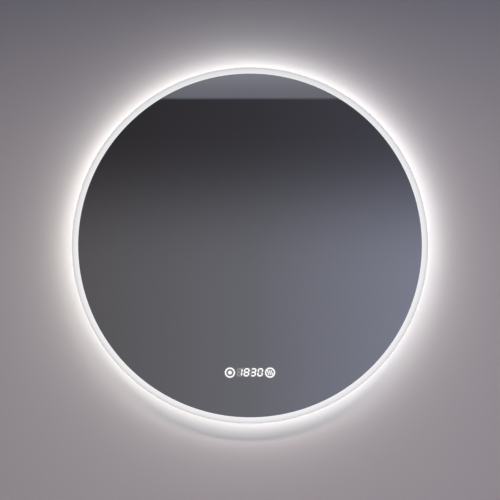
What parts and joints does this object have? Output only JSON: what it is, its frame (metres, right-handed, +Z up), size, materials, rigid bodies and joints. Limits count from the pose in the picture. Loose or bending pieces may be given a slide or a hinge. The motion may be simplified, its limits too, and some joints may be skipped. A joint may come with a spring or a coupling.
{
  "type": "round backlit bathroom wall mirror",
  "caption": "Round wall mirror with a backlit opal rim, touch keys and a clock behind the glass, and a hook rail that hangs on a screwed wall rail.",
  "frame": {"origin": "middle of the wall rail's screw line, on the wall surface", "axes": "+Y into the wall, so the mirror faces -Y; +Z up; +X to the right of a person who looks into the mirror"},
  "size_m": [0.5999, 0.045, 0.6],
  "materials": {
    "mirror_glass": "silvered float glass, polished edge",
    "opal_acrylic": "opal white, softly lit from inside",
    "foam": "closed-cell foam",
    "white_steel": "fine-texture white powder coat",
    "strip_board": "white solder mask",
    "led_package": "light package under clear resin",
    "grey_plastic": "moulded",
    "white_plastic": "moulded, fine grain",
    "black_plastic": "moulded, fine grain",
    "clear_plastic": "frosted clear light guide",
    "rubber": "matt black",
    "zinc_steel": "zinc plated, folded sheet",
    "screw_steel": "zinc plated",
    "circuit_board": "green solder mask",
    "heating_film": "clear film over a heating track",
    "lead_jacket": "flat two-core jacket"
  },
  "bodies": {
    "wall_rail": {"wall_rail": "zinc_steel"},
    "mirror": {"access_plate": "white_steel", "access_screw": "screw_steel", "back_pan": "white_steel", "cable_grommet": "rubber", "clock_display": "black_plastic", "cord_clamp": "grey_plastic", "demister_lead": "lead_jacket", "demister_pad": "heating_film", "demister_tab": "foam", "diffuser_rim": "opal_acrylic", "driver_tape": "foam", "glass_tape": "foam", "hook_rail": "zinc_steel", "led_driver": "white_plastic", "led_packages": "led_package", "led_tape": "strip_board", "lower_stiffener": "zinc_steel", "mains_lead": "lead_jacket", "mirror_glass": "mirror_glass", "module_board": "circuit_board", "module_gasket": "foam", "module_housing": "black_plastic", "module_lead": "lead_jacket", "module_lead_clip": "grey_plastic", "module_lid": "black_plastic", "module_plug": "white_plastic", "module_socket": "white_plastic", "strip_bush": "rubber", "strip_joint": "grey_plastic", "strip_lead": "lead_jacket", "strip_lead_clip": "grey_plastic", "terminal_block": "grey_plastic", "terminal_box": "white_plastic", "touch_light_guides": "clear_plastic", "upper_stiffener": "zinc_steel", "wall_bumpers": "rubber"}
  },
  "joints": [
    {"name": "hang_lift", "type": "slide", "parent": "wall_rail", "child": "mirror", "axis": [0, 0, 1], "range_m": [0, 0.013]}
  ]
}
